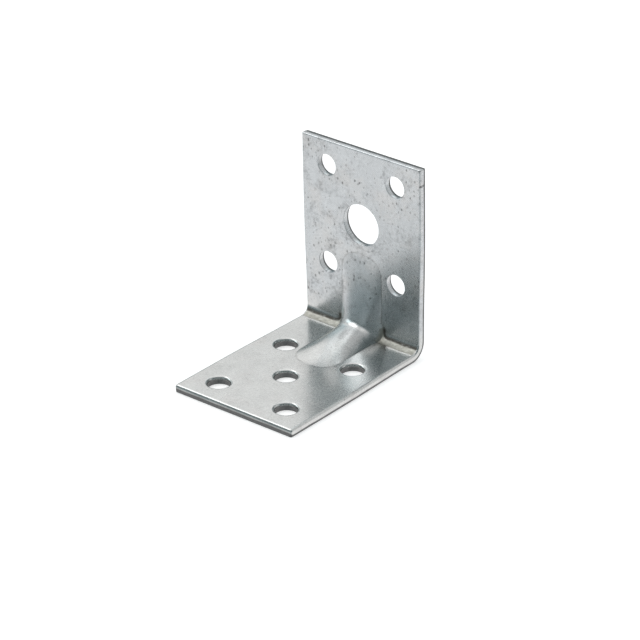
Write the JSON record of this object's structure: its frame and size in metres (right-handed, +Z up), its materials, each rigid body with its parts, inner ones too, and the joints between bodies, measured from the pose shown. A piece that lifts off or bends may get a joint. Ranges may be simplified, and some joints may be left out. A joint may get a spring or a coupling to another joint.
{
  "type": "angle bracket",
  "caption": "Ribbed right-angle bracket pressed from galvanised sheet steel, with nail holes in both legs and a bolt hole in the upright leg.",
  "frame": {"origin": "middle of the outer heel corner, where the planes of the two outer faces meet", "axes": "+Z up the upright leg, -Y along the foot leg, X across the width; the outer faces are z = 0 and y = 0"},
  "size_m": [0.036, 0.05, 0.05],
  "materials": {
    "galvanised_steel": "hot-dip zinc, satin, lightly pitted and stained"
  },
  "bodies": {
    "root": {"bracket": "galvanised_steel"}
  },
  "joints": []
}
